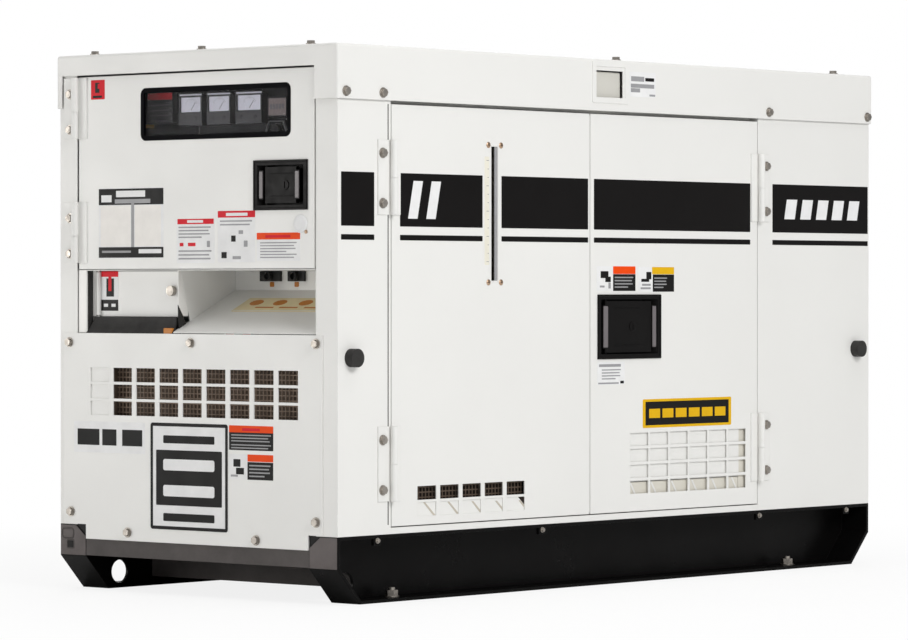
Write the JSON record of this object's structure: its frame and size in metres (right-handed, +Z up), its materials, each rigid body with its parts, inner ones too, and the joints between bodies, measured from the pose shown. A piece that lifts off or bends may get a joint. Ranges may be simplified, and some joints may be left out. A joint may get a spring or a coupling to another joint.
{
  "type": "sound attenuated diesel generator set",
  "caption": "Enclosed engine generator set on a skid base, with hinged service doors, an instrument window, a terminal bay and flush latches.",
  "frame": {"origin": "centre of the footprint, on the ground under the skid", "axes": "+X along the length towards the radiator end, +Y across the width, +Z up; the control end faces -X"},
  "size_m": [1.5945, 0.714, 0.9716],
  "materials": {
    "cover_paint": "gloss powder coat, off-white",
    "base_paint": "gloss black enamel",
    "plated_steel": "zinc plated",
    "latch_plastic": "satin black, moulded",
    "rubber": "black",
    "glass": "clear",
    "panel_plastic": "dark grey instrument panel",
    "meter_plastic": "pale meter faces, black cases",
    "engine_paint": "grey engine paint",
    "generator_paint": "grey enamel",
    "aluminium": "cast and bare",
    "exhaust_steel": "aluminised",
    "tank_plastic": "black fuel tank",
    "black_plastic": "black",
    "battery_plastic": "black case, lead posts"
  },
  "bodies": {
    "machine": {"skid_rail_right": "base_paint", "skid_rail_left": "base_paint", "cross_members": "base_paint", "drip_tray": "base_paint", "roof_cover": "cover_paint", "front_corner_right": "cover_paint", "front_corner_left": "cover_paint", "rear_corner_right": "cover_paint", "rear_corner_left": "cover_paint", "inner_frame": "cover_paint", "front_vent_panel": "cover_paint", "rear_panel": "cover_paint", "hinge_posts": "cover_paint", "control_box": "panel_plastic", "instrument_panel": "panel_plastic", "panel_meters": "meter_plastic", "terminal_bay": "cover_paint", "terminal_board": "black_plastic", "receptacles": "black_plastic", "cable_flap": "rubber", "generator_stator": "generator_paint", "flywheel_housing": "engine_paint", "engine_block": "engine_paint", "cylinder_head": "engine_paint", "rocker_cover": "aluminium", "oil_pan": "engine_paint", "engine_electrics": "aluminium", "engine_filters": "base_paint", "fan_belt": "rubber", "radiator": "aluminium", "fan_shroud": "black_plastic", "exhaust_system": "exhaust_steel", "air_cleaner": "base_paint", "hoses": "rubber", "engine_mounts": "rubber", "battery": "battery_plastic", "fuel_tank": "tank_plastic", "fuel_gauge": "glass", "lifting_frame": "plated_steel", "flange_bolts": "plated_steel", "door_bumpers": "rubber"},
    "right_front_door": {"right_front_door": "cover_paint"},
    "right_rear_door": {"right_rear_door": "cover_paint", "latch_dish_right": "latch_plastic"},
    "left_door": {"left_door": "cover_paint", "latch_dish_left": "latch_plastic"},
    "control_door": {"control_door": "cover_paint", "door_window": "glass", "latch_dish_control": "latch_plastic"},
    "right_paddle": {"latch_paddle_right": "latch_plastic"},
    "left_paddle": {"latch_paddle_left": "latch_plastic"},
    "control_paddle": {"latch_paddle_control": "latch_plastic"},
    "terminal_cover": {"terminal_cover": "cover_paint"},
    "cover_knob": {"cover_knob": "plated_steel"},
    "crankshaft": {"generator_rotor": "plated_steel", "crank_pulley": "plated_steel"},
    "fan": {"cooling_fan": "black_plastic"},
    "key_switch": {"key_switch": "plated_steel"},
    "breaker_toggle": {"breaker_toggle": "black_plastic"},
    "fuel_cap": {"fuel_cap": "black_plastic"}
  },
  "joints": [
    {"name": "right_front_door_hinge", "type": "hinge", "parent": "machine", "child": "right_front_door", "pos_m": [-0.644, -0.349, 0.5], "axis": [0, 0, -1], "range_deg": [0, 170]},
    {"name": "right_rear_door_hinge", "type": "hinge", "parent": "machine", "child": "right_rear_door", "pos_m": [0.416, -0.349, 0.5], "axis": [0, 0, 1], "range_deg": [0, 170]},
    {"name": "left_door_hinge", "type": "hinge", "parent": "machine", "child": "left_door", "pos_m": [0.416, 0.349, 0.5], "axis": [0, 0, -1], "range_deg": [0, 170]},
    {"name": "control_door_hinge", "type": "hinge", "parent": "machine", "child": "control_door", "pos_m": [-0.789, 0.295, 0.75], "axis": [0, 0, -1], "range_deg": [0, 120]},
    {"name": "right_paddle_pull", "type": "hinge", "parent": "right_rear_door", "child": "right_paddle", "pos_m": [-0.046, -0.3365, 0.4735], "axis": [0, 0, -1], "range_deg": [0, 35], "stiffness_Nm_per_rad": 0.3},
    {"name": "left_paddle_pull", "type": "hinge", "parent": "left_door", "child": "left_paddle", "pos_m": [-0.046, 0.3365, 0.4735], "axis": [0, 0, 1], "range_deg": [0, 35], "stiffness_Nm_per_rad": 0.3},
    {"name": "control_paddle_pull", "type": "hinge", "parent": "control_door", "child": "control_paddle", "pos_m": [-0.7765, -0.171, 0.7235], "axis": [0, 0, -1], "range_deg": [0, 35], "stiffness_Nm_per_rad": 0.2},
    {"name": "terminal_cover_hinge", "type": "hinge", "parent": "machine", "child": "terminal_cover", "pos_m": [-0.763, 0.259, 0.535], "axis": [0, 0, -1], "range_deg": [0, 105]},
    {"name": "cover_knob_turn", "type": "hinge", "parent": "terminal_cover", "child": "cover_knob", "pos_m": [-0.76, 0.074, 0.54], "axis": [-1, 0, 0], "range_deg": [0, 90]},
    {"name": "crankshaft_spin", "type": "hinge", "parent": "machine", "child": "crankshaft", "pos_m": [0, 0, 0.32], "axis": [1, 0, 0], "continuous": true},
    {"name": "fan_spin", "type": "hinge", "parent": "machine", "child": "fan", "pos_m": [0.4, 0, 0.47], "axis": [1, 0, 0], "continuous": true},
    {"name": "key_switch_turn", "type": "hinge", "parent": "machine", "child": "key_switch", "pos_m": [-0.735, 0.06, 0.7], "axis": [-1, 0, 0], "range_deg": [0, 90]},
    {"name": "breaker_throw", "type": "hinge", "parent": "machine", "child": "breaker_toggle", "pos_m": [-0.717, -0.075, 0.7], "axis": [0, 1, 0], "range_deg": [0, 38]},
    {"name": "fuel_cap_turn", "type": "hinge", "parent": "machine", "child": "fuel_cap", "pos_m": [-0.19, -0.23, 0.82], "axis": [0, 0, 1], "range_deg": [0, 90]}
  ],
  "couplings": [
    {"joint": "fan_spin", "follows": "crankshaft_spin", "ratio": 1}
  ]
}
